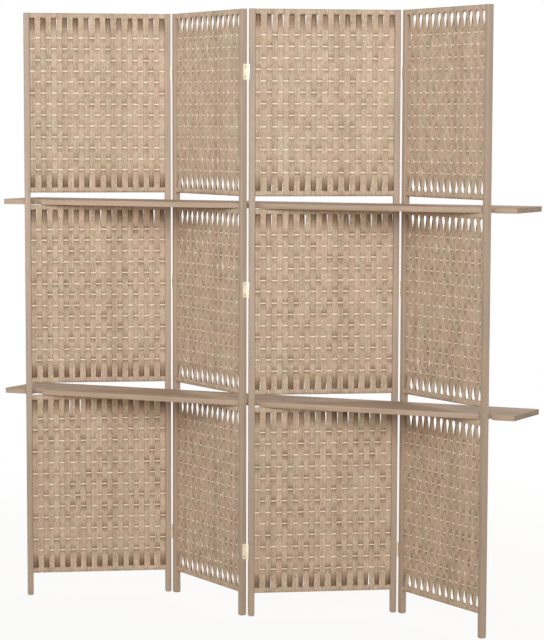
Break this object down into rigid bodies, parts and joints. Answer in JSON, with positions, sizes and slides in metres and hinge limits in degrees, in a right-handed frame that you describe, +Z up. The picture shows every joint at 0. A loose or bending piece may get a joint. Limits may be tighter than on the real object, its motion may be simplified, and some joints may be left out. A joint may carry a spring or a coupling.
{
  "type": "folding screen with shelves",
  "caption": "Hinged room divider with woven panels that folds like an accordion and carries long boards as shelves through gaps in the panels.",
  "frame": {"origin": "centre of the footprint's bounding box, on the floor", "axes": "+Z up, +X along the screen, front of the screen towards -Y"},
  "size_m": [1.69, 0.2724, 1.8],
  "materials": {
    "stile_wood": "satin",
    "wound_cord": "matte",
    "woven_strip": "matte",
    "shelf_wood": "satin",
    "hinge_brass": "satin"
  },
  "bodies": {
    "panel_1": {"panel_1_left_stile": "stile_wood", "panel_1_right_stile": "stile_wood", "panel_1_lower_bottom_rail": "wound_cord", "panel_1_lower_top_rail": "wound_cord", "panel_1_lower_weave": "woven_strip", "panel_1_middle_bottom_rail": "wound_cord", "panel_1_middle_top_rail": "wound_cord", "panel_1_middle_weave": "woven_strip", "panel_1_upper_bottom_rail": "wound_cord", "panel_1_upper_top_rail": "wound_cord", "panel_1_upper_weave": "woven_strip"},
    "panel_2": {"panel_2_left_stile": "stile_wood", "panel_2_right_stile": "stile_wood", "panel_2_lower_bottom_rail": "wound_cord", "panel_2_lower_top_rail": "wound_cord", "panel_2_lower_weave": "woven_strip", "panel_2_middle_bottom_rail": "wound_cord", "panel_2_middle_top_rail": "wound_cord", "panel_2_middle_weave": "woven_strip", "panel_2_upper_bottom_rail": "wound_cord", "panel_2_upper_top_rail": "wound_cord", "panel_2_upper_weave": "woven_strip", "hinge_12_bottom_leaf": "hinge_brass", "hinge_12_middle_leaf": "hinge_brass", "hinge_12_top_leaf": "hinge_brass"},
    "panel_3": {"panel_3_left_stile": "stile_wood", "panel_3_right_stile": "stile_wood", "panel_3_lower_bottom_rail": "wound_cord", "panel_3_lower_top_rail": "wound_cord", "panel_3_lower_weave": "woven_strip", "panel_3_middle_bottom_rail": "wound_cord", "panel_3_middle_top_rail": "wound_cord", "panel_3_middle_weave": "woven_strip", "panel_3_upper_bottom_rail": "wound_cord", "panel_3_upper_top_rail": "wound_cord", "panel_3_upper_weave": "woven_strip", "hinge_23_bottom_leaf": "hinge_brass", "hinge_23_middle_leaf": "hinge_brass", "hinge_23_top_leaf": "hinge_brass"},
    "panel_4": {"panel_4_left_stile": "stile_wood", "panel_4_right_stile": "stile_wood", "panel_4_lower_bottom_rail": "wound_cord", "panel_4_lower_top_rail": "wound_cord", "panel_4_lower_weave": "woven_strip", "panel_4_middle_bottom_rail": "wound_cord", "panel_4_middle_top_rail": "wound_cord", "panel_4_middle_weave": "woven_strip", "panel_4_upper_bottom_rail": "wound_cord", "panel_4_upper_top_rail": "wound_cord", "panel_4_upper_weave": "woven_strip", "hinge_34_bottom_leaf": "hinge_brass", "hinge_34_middle_leaf": "hinge_brass", "hinge_34_top_leaf": "hinge_brass"},
    "shelf_upper": {"shelf_upper": "shelf_wood"},
    "shelf_lower": {"shelf_lower": "shelf_wood"}
  },
  "joints": [
    {"name": "fold_23", "type": "hinge", "parent": "panel_2", "child": "panel_3", "pos_m": [0.0052, -0.12099, 0.9], "axis": [0, 0, 1], "range_deg": [-6, 106]},
    {"name": "fold_12", "type": "hinge", "parent": "panel_2", "child": "panel_1", "pos_m": [-0.3796, 0.12099, 0.9], "axis": [0, 0, 1], "range_deg": [-6, 106]},
    {"name": "fold_34", "type": "hinge", "parent": "panel_3", "child": "panel_4", "pos_m": [0.39, 0.12099, 0.9], "axis": [0, 0, -1], "range_deg": [-6, 106]},
    {"name": "upper_shelf_turn", "type": "hinge", "parent": "panel_2", "child": "shelf_upper", "pos_m": [-0.03943, -0.10347, 1.2246], "axis": [0, 0, 1], "range_deg": [-3, 53]},
    {"name": "lower_shelf_turn", "type": "hinge", "parent": "panel_2", "child": "shelf_lower", "pos_m": [-0.03943, -0.10347, 0.6371], "axis": [0, 0, 1], "range_deg": [-3, 53]}
  ],
  "couplings": [
    {"joint": "fold_12", "follows": "fold_23", "ratio": 1},
    {"joint": "fold_34", "follows": "fold_23", "ratio": 1},
    {"joint": "upper_shelf_turn", "follows": "fold_23", "ratio": 0.5},
    {"joint": "lower_shelf_turn", "follows": "fold_23", "ratio": 0.5}
  ]
}
